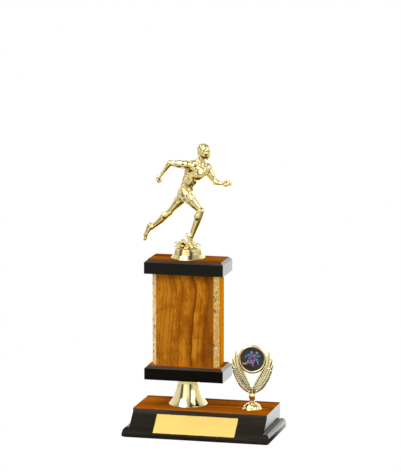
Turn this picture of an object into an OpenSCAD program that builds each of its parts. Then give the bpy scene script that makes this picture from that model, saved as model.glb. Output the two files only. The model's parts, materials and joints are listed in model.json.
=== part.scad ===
// Figure trophy: a running athlete on a wood-grain column, with a small winged holder beside it.
// Millimetres. X to the right, Y to the back, Z up. The origin is the middle of the felt's underside.

/* [Plinth] */
// Width over the beads at both ends
plinth_w = 160; // [150:1:180]
// Depth at the foot
plinth_d = 87; // [80:1:100]
// Height from the felt's underside to the veneer's top
plinth_h = 27.4; // [25:0.1:34]
// Depth of the flat top, which runs to the back face
plinth_top_d = 63.8; // [56:0.1:70]
// Height of the vertical lip at the front of the foot
foot_lip_h = 4; // [3:0.1:6]
// Height of the vertical lip under the front edge of the top
top_lip_h = 3.8; // [2:0.1:6]
// How far each end bead stands out
bead_w = 6.6; // [4:0.1:9]
// Height of each end bead
bead_h = 9.2; // [6:0.1:12]
// Thickness of the felt under the plinth
felt_t = 1; // [0.8:0.1:2]
// Thickness of the wood-grain veneers
veneer_t = 0.5; // [0.4:0.1:1]

/* [Name plate] */
// Width of the plate
plate_w = 88.8; // [60:0.1:100]
// Height of the plate along the slope
plate_h = 25.2; // [18:0.1:26]
// Thickness of the plate
plate_t = 0.6; // [0.4:0.1:1]
// Thickness of the tape behind it
tape_t = 0.3; // [0.2:0.1:0.6]
// How far the plate sits from the middle of the front
plate_shift = -1.6; // [-4:0.1:4]

/* [Column] */
// Distance of the column's axis from the middle
column_x = -20.5; // [-26:0.5:-16]
// Width of the column
column_w = 73.6; // [60:0.1:80]
// Depth of the column
column_d = 30.6; // [26:0.1:36]
// Height of the column between the slabs
column_h = 99.7; // [80:0.1:140]
// Leg of the 45 degree cut on each corner
corner_leg = 5.3; // [4:0.1:7]
// Thickness of the foil and tape on the column
foil_t = 0.4; // [0.3:0.1:0.6]
// Height of the bell riser
riser_h = 29.2; // [24:0.1:36]
// Radius of the riser at its foot
riser_foot_r = 20.9; // [19:0.1:24]
// Radius of the riser at its top
riser_neck_r = 10.9; // [9:0.1:12]

/* [Slabs] */
// Width of each slab
slab_w = 86.5; // [82:0.1:92]
// Depth of each slab
slab_d = 42.6; // [40:0.1:50]
// Height of each slab
slab_h = 15.3; // [13:0.1:18]
// Height of the sloped edge
slab_bevel_h = 3.1; // [2:0.1:4]
// How far the sloped edge runs in
slab_bevel_w = 3.05; // [2:0.05:4]

/* [Figure] */
// Radius of the pedestal at its foot
pedestal_r = 18.3; // [17:0.1:20]
// Height of the pedestal
pedestal_h = 12.2; // [11:0.1:14]

/* [Winged holder] */
// Distance of the holder's axis to the right of the middle
holder_x = 52; // [50:0.5:56]
// Distance of the holder's axis behind the middle
holder_y = 3; // [0:0.5:12]
// How far the holder is turned from facing straight forward
holder_turn = 7; // [-30:1:30]
// Radius of the dome foot
dome_r = 10.6; // [9:0.1:12]
// Height of the dome foot
dome_h = 7.4; // [6:0.1:8]
// Height of the ring's centre over the plinth
ring_z = 54.5; // [50:0.5:56]
// Outer radius of the ring
ring_r = 15.4; // [15:0.1:17]
// Radius of the printed insert
insert_r = 12.5; // [12:0.1:12.7]

/* [Fasteners] */
// Diameter of the tie rod
rod_dia = 5; // [4:0.5:6]
// Diameter of the holder's screw
screw_dia = 4; // [3:0.5:4]
// Depth of the counterbores under the plinth
counterbore_h = 12.4; // [11:0.1:14]

/* [Hidden] */
$fn = 64;

// Colours
gold = [0.87, 0.80, 0.55];
plate_gold = [0.98, 0.84, 0.49];
black = [0.13, 0.12, 0.11];
wood = [0.63, 0.35, 0.08];
light_wood = [0.83, 0.55, 0.14];
prism_gold = [0.93, 0.78, 0.45];
steel = [0.65, 0.66, 0.68];

// Heights of the stack
core_h = plinth_h - felt_t - veneer_t;
lower_slab_z = plinth_h + riser_h;
column_z = lower_slab_z + slab_h;
upper_slab_z = column_z + column_h;
figure_z = upper_slab_z + slab_h;

// Flat widths of the column's faces between the cut corners
flat_w = column_w - 2 * corner_leg;
flat_d = column_d - 2 * corner_leg;

// Plan of the plinth
body_w = plinth_w - 2 * bead_w;
front_y = -plinth_d / 2;
back_y = plinth_d / 2;
top_front_y = back_y - plinth_top_d;
stack_y = back_y - plinth_top_d / 2;
bead_round = bead_h / 2;
groove_r = 0.7;

// The sloped front, from the top lip down to the foot lip
slope_run = top_front_y - front_y;
slope_rise = plinth_h - top_lip_h - foot_lip_h;
slope_angle = atan2(slope_rise, slope_run);
slope_len = norm([slope_run, slope_rise]);
plate_margin = (slope_len - plate_h) / 2;
tape_inset = 1.5;

// Fasteners: play is the radial gap of a running fit, hole_play that of a drilled hole
play = 0.05;
hole_play = 0.5;
rod_r = rod_dia / 2 - play;
screw_r = screw_dia / 2 - play;
washer_t = 1.2;
rod_nut_flats = 8;
rod_nut_h = 4;
rod_washer_r = 7.5;
screw_nut_flats = 7;
screw_nut_h = 3.2;
screw_head_r = 4;
screw_head_h = 3;
screw_len = 20;
screw_washer_r = 6;
rod_bore_r = rod_dia / 2 + hole_play;
screw_bore_r = screw_dia / 2 + 0.3;
counterbore_r = 10;
washer_z = felt_t + counterbore_h - washer_t;
rod_tail = 1.5;
rod_top = figure_z + 8;
pocket_z = 0.6;
holder_bore_h = 5.6;
pedestal_hollow_h = 8.4;
cut = 1;

// Small details
wall = 2;
riser_flare_r = 45.2;
riser_rim_r = 0.8;
ring_depth = 4.4;
recess = 1.8;
insert_t = 0.5;
insert_tape_t = 0.3;
wing_t = 3.2;
limb_sides = 18;

module at_stack(z = 0) {
  translate([column_x, stack_y, z]) children();
}

module at_holder(z = 0) {
  translate([holder_x, holder_y, z]) rotate([0, 0, holder_turn]) children();
}

module on_slope() {
  translate([plate_shift, top_front_y, plinth_h - top_lip_h]) rotate([slope_angle, 0, 0]) children();
}

// A flat ring or a tube, standing on z = 0
module pipe(r_out, r_in, h) {
  difference() {
    cylinder(r = r_out, h = h);
    translate([0, 0, -cut]) cylinder(r = r_in, h = h + 2 * cut);
  }
}

module hexagon_bar(flats, h) {
  cylinder(r = flats / 2 / cos(30), h = h, $fn = 6);
}

module hex_nut(flats, h, bore_r) {
  difference() {
    hexagon_bar(flats, h);
    translate([0, 0, -cut]) cylinder(r = bore_r, h = h + 2 * cut);
  }
}

// Plinth -----------------------------------------------------------------

// Seen from the front: a straight body, a rounded bead at each end and a fine groove over it
module plinth_front_outline() {
  difference() {
    union() {
      translate([-body_w / 2, 0]) square([body_w, core_h]);
      for (side = [0, 1]) mirror([side, 0]) translate([body_w / 2, 0]) bead_outline();
    }
    for (side = [-1, 1]) translate([side * (body_w / 2 + groove_r / 2), bead_h]) circle(groove_r);
  }
}

module bead_outline() {
  translate([-cut, 0]) square([bead_w + cut, bead_h - bead_round]);
  translate([-cut, 0]) square([bead_w - bead_round + cut, bead_h]);
  translate([bead_w - bead_round, bead_h - bead_round]) circle(bead_round);
}

// Seen from the side: flat back, foot lip, slope, top lip
module plinth_side_outline() {
  polygon([
    [front_y, 0],
    [back_y, 0],
    [back_y, core_h],
    [top_front_y, core_h],
    [top_front_y, plinth_h - top_lip_h - felt_t],
    [front_y, foot_lip_h - felt_t]
  ]);
}

module plinth_core() {
  color(black) difference() {
    translate([0, 0, felt_t]) intersection() {
      rotate([90, 0, 0]) linear_extrude(plinth_d + 2 * cut, center = true) plinth_front_outline();
      rotate([90, 0, 90]) linear_extrude(plinth_w + 2 * cut, center = true) plinth_side_outline();
    }
    at_stack() cylinder(r = rod_bore_r, h = plinth_h + cut);
    at_stack() cylinder(r = counterbore_r, h = felt_t + counterbore_h);
    at_holder() cylinder(r = screw_bore_r, h = plinth_h + cut);
    at_holder() cylinder(r = counterbore_r, h = felt_t + counterbore_h);
  }
}

module felt_pad() {
  felt_inset = 2;
  color("darkgreen") translate([-plinth_w / 2 + felt_inset, front_y + felt_inset, 0])
    cube([plinth_w - 2 * felt_inset, plinth_d - 2 * felt_inset, felt_t]);
}

module plinth_veneer() {
  color(wood) difference() {
    translate([-body_w / 2, top_front_y, plinth_h - veneer_t]) cube([body_w, plinth_top_d, veneer_t]);
    at_stack() cylinder(r = rod_bore_r, h = plinth_h + cut);
    at_holder() cylinder(r = screw_bore_r, h = plinth_h + cut);
  }
}

module plate_tape() {
  color("white") on_slope() translate([-plate_w / 2 + tape_inset, -plate_margin - plate_h + tape_inset, 0])
    cube([plate_w - 2 * tape_inset, plate_h - 2 * tape_inset, tape_t]);
}

module name_plate() {
  color(plate_gold) on_slope() translate([-plate_w / 2, -plate_margin - plate_h, tape_t])
    cube([plate_w, plate_h, plate_t]);
}

// Riser and slabs ----------------------------------------------------------

// Half outline of the bell: everything inside a quarter flare of the given radius
module flare_outline(foot_r, flare_r, h) {
  difference() {
    square([foot_r, h]);
    translate([riser_neck_r + riser_flare_r, riser_h]) circle(flare_r, $fn = 128);
  }
}

module riser() {
  color(gold) at_stack(plinth_h) rotate_extrude() difference() {
    union() {
      flare_outline(riser_foot_r, riser_flare_r, riser_h);
      translate([riser_foot_r - riser_rim_r, riser_rim_r]) circle(riser_rim_r);
    }
    translate([0, -cut]) flare_outline(riser_foot_r - wall, riser_flare_r + wall, riser_h - wall + cut);
    square([rod_bore_r, riser_h]);
  }
}

// One side's outline of a slab, w wide, with its sloped top edges
module slab_outline(w) {
  straight_h = slab_h - slab_bevel_h;
  polygon([
    [-w / 2, 0],
    [w / 2, 0],
    [w / 2, straight_h],
    [w / 2 - slab_bevel_w, slab_h - veneer_t],
    [-w / 2 + slab_bevel_w, slab_h - veneer_t],
    [-w / 2, straight_h]
  ]);
}

module slab_core() {
  color(black) difference() {
    intersection() {
      rotate([90, 0, 0]) linear_extrude(slab_d + 2 * cut, center = true) slab_outline(slab_w);
      rotate([90, 0, 90]) linear_extrude(slab_w + 2 * cut, center = true) slab_outline(slab_d);
    }
    translate([0, 0, -cut]) cylinder(r = rod_bore_r, h = slab_h + 2 * cut);
  }
}

module slab_veneer() {
  w = slab_w - 2 * slab_bevel_w;
  d = slab_d - 2 * slab_bevel_w;
  color(wood) difference() {
    translate([-w / 2, -d / 2, slab_h - veneer_t]) cube([w, d, veneer_t]);
    cylinder(r = rod_bore_r, h = slab_h + cut);
  }
}

module lower_slab() {
  at_stack(lower_slab_z) slab_core();
}

module lower_slab_veneer() {
  at_stack(lower_slab_z) slab_veneer();
}

module upper_slab() {
  at_stack(upper_slab_z) slab_core();
}

module upper_slab_veneer() {
  at_stack(upper_slab_z) slab_veneer();
}

// Column -------------------------------------------------------------------

// Rectangle with cut corners, set in by t on all eight sides
module column_outline(t) {
  half_w = column_w / 2 - t;
  half_d = column_d / 2 - t;
  leg = corner_leg - t * (2 - sqrt(2));
  polygon([
    [-half_w + leg, -half_d], [half_w - leg, -half_d],
    [half_w, -half_d + leg], [half_w, half_d - leg],
    [half_w - leg, half_d], [-half_w + leg, half_d],
    [-half_w, half_d - leg], [-half_w, -half_d + leg]
  ]);
}

module column_core() {
  color("burlywood") at_stack(column_z) difference() {
    linear_extrude(column_h) column_outline(foil_t);
    translate([0, 0, -cut]) cylinder(r = rod_bore_r, h = column_h + 2 * cut);
  }
}

// The part of the column's skin that lies within a rectangle of the plan
module column_skin(x0, y0, w, d) {
  at_stack(column_z) linear_extrude(column_h) intersection() {
    difference() {
      column_outline(0);
      column_outline(foil_t);
    }
    translate([x0, y0]) square([w, d]);
  }
}

module face_veneer(side) {
  color(wood) column_skin(-flat_w / 2, side < 0 ? -column_d / 2 : 0, flat_w, column_d / 2);
}

module end_veneer(side) {
  color(light_wood) column_skin(side < 0 ? -column_w / 2 : 0, -flat_d / 2, column_w / 2, flat_d);
}

module corner_strip(side_x, side_y) {
  color(prism_gold) column_skin(
    side_x < 0 ? -column_w / 2 : flat_w / 2,
    side_y < 0 ? -column_d / 2 : flat_d / 2,
    corner_leg, corner_leg
  );
}

// Fasteners ----------------------------------------------------------------

module tie_rod() {
  rod_bottom = washer_z - rod_nut_h - rod_tail;
  color(steel) at_stack(rod_bottom) cylinder(r = rod_r, h = rod_top - rod_bottom);
}

module rod_washer() {
  color(steel) at_stack(washer_z) pipe(rod_washer_r, rod_dia / 2 + play, washer_t);
}

module rod_nut() {
  color(steel) at_stack(washer_z - rod_nut_h) hex_nut(rod_nut_flats, rod_nut_h, rod_dia / 2);
}

module holder_washer() {
  color(steel) at_holder(washer_z) pipe(screw_washer_r, screw_dia / 2 + play, washer_t);
}

module holder_screw() {
  slot_w = 1;
  slot_h = 1.2;
  color(steel) at_holder(washer_z) difference() {
    union() {
      cylinder(r = screw_r, h = screw_len);
      translate([0, 0, -screw_head_h]) cylinder(r = screw_head_r, h = screw_head_h);
    }
    for (turn = [0, 90]) rotate([0, 0, turn]) translate([0, 0, -screw_head_h])
      cube([2 * screw_head_r - 2, slot_w, 2 * slot_h], center = true);
  }
}

// Figure ---------------------------------------------------------------------

// Half outline of the stepped pedestal
module pedestal_outline() {
  polygon([
    [0, 0], [pedestal_r, 0],
    [pedestal_r, 0.9], [pedestal_r - 0.6, 1.7],
    [pedestal_r - 2.5, 4.5], [pedestal_r - 3.1, 4.7],
    [pedestal_r - 3.6, 8.6], [pedestal_r - 4.1, 8.8],
    [pedestal_r - 4.5, 11], [pedestal_r - 5.7, pedestal_h],
    [0, pedestal_h]
  ]);
}

// Hollow from below, with a boss in the middle that holds the nut
module figure_pedestal() {
  boss_r = 6.5;
  hollow_r = pedestal_r - 5.2;
  color(gold) at_stack(figure_z) difference() {
    rotate_extrude() pedestal_outline();
    difference() {
      translate([0, 0, -cut]) cylinder(r = hollow_r, h = pedestal_hollow_h + cut);
      translate([0, 0, pocket_z]) cylinder(r = boss_r, h = pedestal_hollow_h);
    }
    hexagon_bar(rod_nut_flats, pocket_z + rod_nut_h);
    cylinder(r = rod_bore_r, h = pedestal_hollow_h + cut);
  }
}

module pedestal_nut() {
  color(steel) at_stack(figure_z + pocket_z) hex_nut(rod_nut_flats, rod_nut_h, rod_dia / 2);
}

// A limb or a muscle: two balls and the taper between them
module limb(a, b, r_a, r_b) {
  hull() {
    translate(a) sphere(r_a, $fn = limb_sides);
    translate(b) sphere(r_b, $fn = limb_sides);
  }
}

// Joints of the runner, from the middle of the pedestal's foot. The runner faces +X and its
// chest is turned towards -Y, with the near leg planted and the far leg trailing.
crown = [17, -0.4, 116.2];
chin = [20.5, -1.2, 110.4];
neck = [15.4, 0, 103];
collar = [12.6, -0.3, 100.2];
chest = [9.2, 0, 93];
waist = [-0.4, 0, 78.4];
hips = [-2.6, 0, 69.4];
near_shoulder = [1.8, -7.4, 101];
near_breast = [6.2, -5, 95.2];
near_elbow = [-18, -6.6, 102.5];
near_wrist = [-26.8, -5, 90.8];
near_fist = [-30.8, -4.6, 85.8];
far_shoulder = [19.4, 7, 97.8];
far_breast = [15.8, 1.2, 93.8];
far_elbow = [28, 6.2, 82];
far_wrist = [37.8, 3.6, 80.6];
far_fist = [42, 2.6, 80.5];
near_hip = [0.4, -4.6, 67.4];
near_knee = [14.8, -5.2, 52.6];
near_ankle = [3.7, -3.6, 25];
near_toe = [7.6, -3.5, 14.6];
far_hip = [-5.6, 4.6, 66.2];
far_knee = [-21.8, 4.8, 47.6];
far_ankle = [-41.6, 4.8, 31];
far_toe = [-48.6, 4.6, 19];

function between(a, b, share) = a + (b - a) * share;

// A bent arm: upper arm, forearm and fist
module arm(shoulder, elbow, wrist, fist) {
  limb(shoulder, elbow, 4.2, 2.9);
  limb(elbow, between(elbow, wrist, 0.3), 2.9, 3);
  limb(between(elbow, wrist, 0.3), wrist, 3, 2);
  limb(wrist, fist, 2.2, 3.6);
}

// A leg: thigh, a calf that swells behind the shin, and the foot
module leg(hip, knee, ankle, toe, calf_push) {
  calf = between(knee, ankle, 0.3) + calf_push;
  limb(hip, knee, 6.8, 4);
  limb(knee, calf, 3.9, 4.3);
  limb(calf, ankle, 4.3, 2.4);
  limb(ankle, toe, 2.7, 2);
}

module runner_figure() {
  color(gold) at_stack(figure_z) {
    limb(crown, chin, 7.7, 4);
    limb(crown, neck, 4, 3.9);
    limb(collar, chest, 5, 8.4);
    limb(near_shoulder, near_breast, 4.4, 5.4);
    limb(far_shoulder, far_breast, 4.2, 5.2);
    limb(near_breast, far_breast, 5.4, 5.2);
    limb(chest, waist, 8.4, 6.2);
    limb(waist, hips, 6.2, 7.6);
    arm(near_shoulder, near_elbow, near_wrist, near_fist);
    arm(far_shoulder, far_elbow, far_wrist, far_fist);
    leg(near_hip, near_knee, near_ankle, near_toe, [-1, 0, 0.6]);
    leg(far_hip, far_knee, far_ankle, far_toe, [0.4, 0, 1]);
    leaf_tuft();
  }
}

// The leafy mound that carries the planted foot
module leaf_tuft() {
  mound_r = 11;
  mound_top_r = 6;
  leaf_tips = [
    [-14, -5, 17], [-5.4, 1, 20], [-11.6, 7, 15.6],
    [6.4, 10, 14.8], [12.4, 3, 13.8], [9.6, -8, 13.6]
  ];
  translate([0, 0, pedestal_h]) cylinder(r1 = mound_r, r2 = mound_top_r, h = 4, $fn = 32);
  for (tip = leaf_tips) limb([tip.x / 3, tip.y / 3, pedestal_h + 3.1], tip, 3, 1);
}

// Winged holder ---------------------------------------------------------------

// Half outline of the dome foot, the neck, the knob and the cup that the wings grow from
module stem_outline() {
  neck_r = 2.7;
  knob_r = 3.7;
  knob_z = 14.7;
  dome_curve_r = (dome_r * dome_r + dome_h * dome_h) / 2 / dome_h;
  intersection() {
    translate([0, dome_h - dome_curve_r]) circle(dome_curve_r, $fn = 128);
    square([dome_r, dome_h]);
  }
  square([neck_r, knob_z]);
  intersection() {
    translate([0, knob_z]) circle(knob_r);
    square([knob_r, knob_z + knob_r]);
  }
  translate([0, knob_z]) square([neck_r, 7]);
}

// The right wing: from the stem's top out past the ring to its free tip
module wing_outline() {
  polygon([
    [0, 17.2], [3.6, 18.2], [6.1, 21.3], [9.4, 23.6], [13, 27.8], [16.2, 32.2],
    [18.4, 36.5], [20.4, 40.9], [21, 46], [22.2, 50.5], [21.6, 54.6], [20, 58.5],
    [18.6, 62.8], [17.6, 64.2], [16.8, 64.2], [16.3, 58], [15, 52.5], [11.4, 44],
    [7.8, 38.2], [4.6, 34.3], [2.9, 30], [0, 24.4]
  ]);
}

module wing_holder() {
  color(gold) at_holder(plinth_h) difference() {
    union() {
      rotate_extrude() stem_outline();
      for (side = [0, 1]) mirror([side, 0, 0])
        rotate([90, 0, 0]) linear_extrude(wing_t, center = true) wing_outline();
      translate([0, 0, ring_z]) rotate([90, 0, 0]) cylinder(r = ring_r, h = ring_depth, center = true);
    }
    translate([0, -ring_depth / 2, ring_z]) rotate([90, 0, 0])
      cylinder(r = insert_r, h = 2 * (recess + insert_t + insert_tape_t), center = true);
    translate([0, 0, -cut]) hexagon_bar(screw_nut_flats, pocket_z + screw_nut_h + cut);
    cylinder(r = screw_bore_r, h = holder_bore_h);
  }
}

module holder_nut() {
  color(steel) at_holder(plinth_h + pocket_z) hex_nut(screw_nut_flats, screw_nut_h, screw_dia / 2);
}

// A disc in the ring's recess, whose front lies at the given depth behind the ring's face
module ring_disc(depth, t) {
  at_holder(plinth_h + ring_z) translate([0, depth + t - ring_depth / 2, 0]) rotate([90, 0, 0])
    cylinder(r = insert_r, h = t);
}

module holder_insert() {
  color("dimgray") ring_disc(recess, insert_t);
}

module insert_tape() {
  color("white") ring_disc(recess + insert_t, insert_tape_t);
}

felt_pad();
plinth_core();
plinth_veneer();
plate_tape();
name_plate();
riser();
lower_slab();
lower_slab_veneer();
column_core();
face_veneer(-1);  // column_front_veneer
face_veneer(1);  // column_back_veneer
end_veneer(-1);  // column_left_veneer
end_veneer(1);  // column_right_veneer
corner_strip(-1, -1);  // corner_strip_front_left
corner_strip(1, -1);  // corner_strip_front_right
corner_strip(-1, 1);  // corner_strip_rear_left
corner_strip(1, 1);  // corner_strip_rear_right
upper_slab();
upper_slab_veneer();
rod_nut();
rod_washer();
tie_rod();
holder_screw();
holder_washer();
figure_pedestal();
pedestal_nut();
runner_figure();
wing_holder();
holder_nut();
insert_tape();
holder_insert();
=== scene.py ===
"""Looks of the figure trophy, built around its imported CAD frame. All lengths are in metres."""

import json
import math

import bmesh
import bpy
import numpy as np
import openvdb as vdb
from mathutils import Matrix, Vector


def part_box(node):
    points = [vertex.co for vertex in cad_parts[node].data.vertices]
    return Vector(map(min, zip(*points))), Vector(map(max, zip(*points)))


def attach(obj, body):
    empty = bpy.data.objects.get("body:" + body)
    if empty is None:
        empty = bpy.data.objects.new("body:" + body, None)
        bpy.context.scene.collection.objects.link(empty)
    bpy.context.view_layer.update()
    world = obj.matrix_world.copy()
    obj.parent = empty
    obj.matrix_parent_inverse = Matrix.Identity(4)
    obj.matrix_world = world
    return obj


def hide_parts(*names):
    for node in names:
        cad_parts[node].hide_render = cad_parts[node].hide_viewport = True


MM = 0.001

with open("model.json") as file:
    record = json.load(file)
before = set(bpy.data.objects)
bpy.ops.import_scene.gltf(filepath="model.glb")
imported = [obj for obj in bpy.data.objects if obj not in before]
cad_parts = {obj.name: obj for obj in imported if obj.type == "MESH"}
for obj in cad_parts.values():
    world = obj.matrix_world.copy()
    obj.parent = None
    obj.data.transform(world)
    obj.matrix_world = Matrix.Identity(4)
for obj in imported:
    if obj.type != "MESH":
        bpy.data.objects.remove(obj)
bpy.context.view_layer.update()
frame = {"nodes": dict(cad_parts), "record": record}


# ---------------------------------------------------------------- camera, floor and light


def direction(azimuth, elevation):
    """Unit vector from the trophy towards a place in the studio. Azimuth 0 is the front."""
    a, e = math.radians(azimuth), math.radians(elevation)
    return Vector((math.sin(a) * math.cos(e), -math.cos(a) * math.cos(e), math.sin(e)))


def make_camera():
    """A long lens, a little to the right of the front and a little above it."""
    azimuth, elevation, distance = 13.97, 9.74, 3.293
    aim = Vector((-4.1, 0, 213.2)) * MM
    data = bpy.data.cameras.new("camera")
    data.lens = 236.9
    data.sensor_width = 36
    data.clip_end = 100
    camera = bpy.data.objects.new("camera", data)
    bpy.context.collection.objects.link(camera)
    towards = direction(azimuth, elevation)
    camera.location = aim + towards * distance
    camera.rotation_euler = towards.to_track_quat("Z", "Y").to_euler()
    bpy.context.scene.camera = camera


def area_light(name, azimuth, elevation, distance, size, power):
    """A white square lamp that shines at the trophy's middle."""
    middle = Vector((0, 0, 0.17))
    data = bpy.data.lights.new(name, "AREA")
    data.size = size
    data.energy = power
    lamp = bpy.data.objects.new(name, data)
    towards = direction(azimuth, elevation)
    lamp.location = middle + towards * distance
    lamp.rotation_euler = towards.to_track_quat("Z", "Y").to_euler()
    bpy.context.collection.objects.link(lamp)


class Nodes:
    """A node tree with short calls for making and linking nodes."""

    def __init__(self, tree):
        self.tree = tree
        tree.nodes.clear()

    def add(self, kind, inputs=None, **settings):
        """A node of that kind. inputs maps a socket's name or number to a value or a socket."""
        made = self.tree.nodes.new("ShaderNode" + kind)
        for name, value in settings.items():
            setattr(made, name, value)
        for key, value in (inputs or {}).items():
            if isinstance(value, bpy.types.NodeSocket):
                self.tree.links.new(value, made.inputs[key])
            else:
                made.inputs[key].default_value = value
        return made

    def math(self, operation, a, b=0.0, c=0.0):
        return self.add("Math", {0: a, 1: b, 2: c}, operation=operation).outputs[0]

    def plus(self, a, b):
        return self.math("ADD", a, b)

    def minus(self, a, b):
        return self.math("SUBTRACT", a, b)

    def times(self, a, b):
        return self.math("MULTIPLY", a, b)

    def scaled(self, a, b, c):
        """a times b, plus c."""
        return self.math("MULTIPLY_ADD", a, b, c)

    def rise(self, value, start, end, top=1.0):
        """0 as far as start, then a smooth rise to top at end."""
        sockets = {0: value, 1: start, 2: end, 3: 0.0, 4: top}
        return self.add("MapRange", sockets, interpolation_type="SMOOTHSTEP").outputs[0]

    def place(self):
        """The place on the part, in metres, as X, Y and Z."""
        return self.add("SeparateXYZ", {0: self.add("TexCoord").outputs["Object"]}).outputs

    def facing(self):
        """The surface's direction as X, Y and Z."""
        return self.add("SeparateXYZ", {0: self.add("NewGeometry").outputs["Normal"]}).outputs

    def noise(self, stretch=(1, 1, 1), scale=1.0, detail=2.0, roughness=0.5):
        """Noise on the part, 0 to 1, drawn out into grain by stretch."""
        sockets = {0: along(self, stretch), "Scale": scale, "Detail": detail, "Roughness": roughness}
        return self.add("TexNoise", sockets).outputs[0]

    def mix(self, share, a, b, blend="MIX"):
        made = self.add("Mix", {0: share, 6: a, 7: b}, data_type="RGBA", blend_type=blend)
        return made.outputs[2]

    def ramp(self, value, stops, interpolation="LINEAR"):
        """A colour ramp. stops are (place, colour), and a colour may be one grey number."""
        made = self.add("ValToRGB", {0: value})
        band = made.color_ramp
        band.interpolation = interpolation
        while len(band.elements) < len(stops):
            band.elements.new(1)
        for element, (place, colour) in zip(band.elements, stops):
            element.position = place
            element.color = (*colour, 1) if hasattr(colour, "__len__") else (colour,) * 3 + (1,)
        return made.outputs[0]


# Brightness round the studio by azimuth, in degrees: a front softbox with dark gaps beside it
PANORAMA = [
    (-180, 1.1), (-150, 0.9), (-74, 0.78), (-64, 0.45), (-57, 0.07), (-46, 0.07), (-38, 0.5),
    (-31, 1.3), (-3, 1.3), (3, 0.8), (10, 1.2), (18, 0.95), (26, 0.4), (33, 0.07), (45, 0.07),
    (55, 0.55), (70, 0.80), (100, 0.76), (130, 0.9), (155, 1.3), (180, 1.3),
]
# The same by height, from straight down to straight up
HEIGHTS = [(-90, 0.9), (0, 1.0), (30, 1.0), (46, 0.55), (62, 0.42), (90, 0.6)]


def make_world():
    """White to the camera, and the softboxes and gaps of a studio to everything else."""
    world = bpy.data.worlds.new("studio")
    world.use_nodes = True
    bpy.context.scene.world = world
    n = Nodes(world.node_tree)
    way = n.add("SeparateXYZ", {0: n.add("TexCoord").outputs["Generated"]}).outputs
    turn = n.math("ARCTAN2", way["X"], n.times(way["Y"], -1))
    around = n.scaled(turn, 0.5 / math.pi, 0.5)
    up = n.scaled(n.math("ARCSINE", way["Z"]), 1 / math.pi, 0.5)
    by_turn = n.ramp(around, [(a / 360 + 0.5, grey) for a, grey in PANORAMA], "EASE")
    by_height = n.ramp(up, [(e / 180 + 0.5, grey) for e, grey in HEIGHTS], "EASE")
    studio = n.mix(1.0, by_turn, by_height, "MULTIPLY")
    seen = n.mix(n.add("LightPath").outputs["Is Camera Ray"], studio, (1, 1, 1, 1))
    sky = n.add("Background", {"Color": seen, "Strength": 1.0})
    n.add("OutputWorld", {"Surface": sky.outputs[0]})


def make_floor():
    """White paper to the camera. In reflections it is dim wood near the front and glows behind."""
    reach = 30
    corners = [(-reach, -reach, 0), (reach, -reach, 0), (reach, reach, 0), (-reach, reach, 0)]
    mesh = bpy.data.meshes.new("floor")
    mesh.from_pydata(corners, [], [(0, 1, 2, 3)])
    floor = bpy.data.objects.new("floor", mesh)
    bpy.context.collection.objects.link(floor)
    surface = bpy.data.materials.new("floor")
    surface.use_nodes = True
    n = Nodes(surface.node_tree)
    x, y = n.place()["X"], n.place()["Y"]
    away = n.add("VectorMath", {0: n.add("TexCoord").outputs["Object"]}, operation="LENGTH")
    # Each edge is a soft line across the floor, 0 on one side of it and rising on the other
    far_edge = n.rise(n.plus(n.scaled(y, 0.8, x), -0.075), 0.0, 0.10, 1.85)
    back_edge = n.rise(n.scaled(x, -0.3, n.plus(y, 0.04)), 0.0, 0.06)
    side_edge = n.rise(n.minus(n.scaled(y, 0.35, 0.15), x), 0.0, 0.06)
    table = [(0.23, (0.060, 0.030, 0.007)), (0.37, (0.36, 0.30, 0.18)), (0.7, (0.76, 0.71, 0.57))]
    tone = n.mix(back_edge, n.ramp(away.outputs["Value"], table, "EASE"), (0.75, 0.75, 0.75, 1))
    glow = n.times(n.times(far_edge, back_edge), side_edge)
    white = {"Emission Color": (1, 1, 1, 1), "Emission Strength": glow}
    paper = n.add("BsdfPrincipled", {"Base Color": tone, "Roughness": 0.9, **white})
    bright = n.add("Emission", {"Color": (1, 1, 1, 1), "Strength": 1.0})
    by_camera = n.add("LightPath").outputs["Is Camera Ray"]
    seen = n.add("MixShader", {0: by_camera, 1: paper.outputs[0], 2: bright.outputs[0]})
    n.add("OutputMaterial", {"Surface": seen.outputs[0]})
    mesh.materials.append(surface)


make_camera()
make_world()
make_floor()
area_light("key", -35, 50, 1.6, 1.0, 15)
area_light("fill", 60, 30, 1.8, 1.2, 8)
bpy.context.scene.view_settings.view_transform = "Standard"


# ---------------------------------------------------------------- materials


def material(name, build):
    """A material whose Principled shader is built by build(nodes), which returns its sockets."""
    made = bpy.data.materials.new(name)
    made.use_nodes = True
    n = Nodes(made.node_tree)
    sockets = build(n)
    shader = n.add("BsdfPrincipled", sockets)
    n.add("OutputMaterial", {"Surface": shader.outputs[0]})
    return made


def along(n, stretch, turn=(0, 0, 0)):
    """The place on the part, in metres, stretched so that noise on it draws out into grain."""
    return n.add("Mapping", {0: n.add("TexCoord").outputs["Object"], 2: turn, 3: stretch}).outputs[0]


def bump(n, height, strength, reach):
    return n.add("Bump", {"Height": height, "Strength": strength, "Distance": reach}).outputs[0]


def grime(n, scale=60.0):
    """Soft uneven patches, 0 to 1."""
    return n.noise(scale=scale, detail=4.0, roughness=0.6)


def gold(n, bright=(0.93, 0.81, 0.43), deep=(0.89, 0.75, 0.36), crease_shade=0.8):
    """Bright plating that is a little uneven, with painted shade that browns it in the creases."""
    patches = grime(n, 45)
    specks = n.noise(scale=1500.0)
    crease_occlusion = n.add("AmbientOcclusion", {"Distance": 0.0025}, samples=4, only_local=True)
    tone = n.ramp(patches, [(0.3, deep), (0.7, bright)])
    # Painted shade: the tone turns brown in creases, where ambient occlusion finds them
    tone = n.mix(n.times(n.minus(1.0, crease_occlusion.outputs["AO"]), crease_shade), tone, (0.36, 0.22, 0.04, 1))
    rough = n.scaled(patches, 0.10, 0.075)
    ripple = bump(n, n.scaled(specks, 0.12, patches), 0.05, 0.0006)
    return {"Base Color": tone, "Metallic": 1.0, "Roughness": rough, "Normal": ripple}


def gold_rim(n):
    """The ring's flatter plating."""
    return gold(n, (0.92, 0.83, 0.48), (0.89, 0.78, 0.43))


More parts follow.
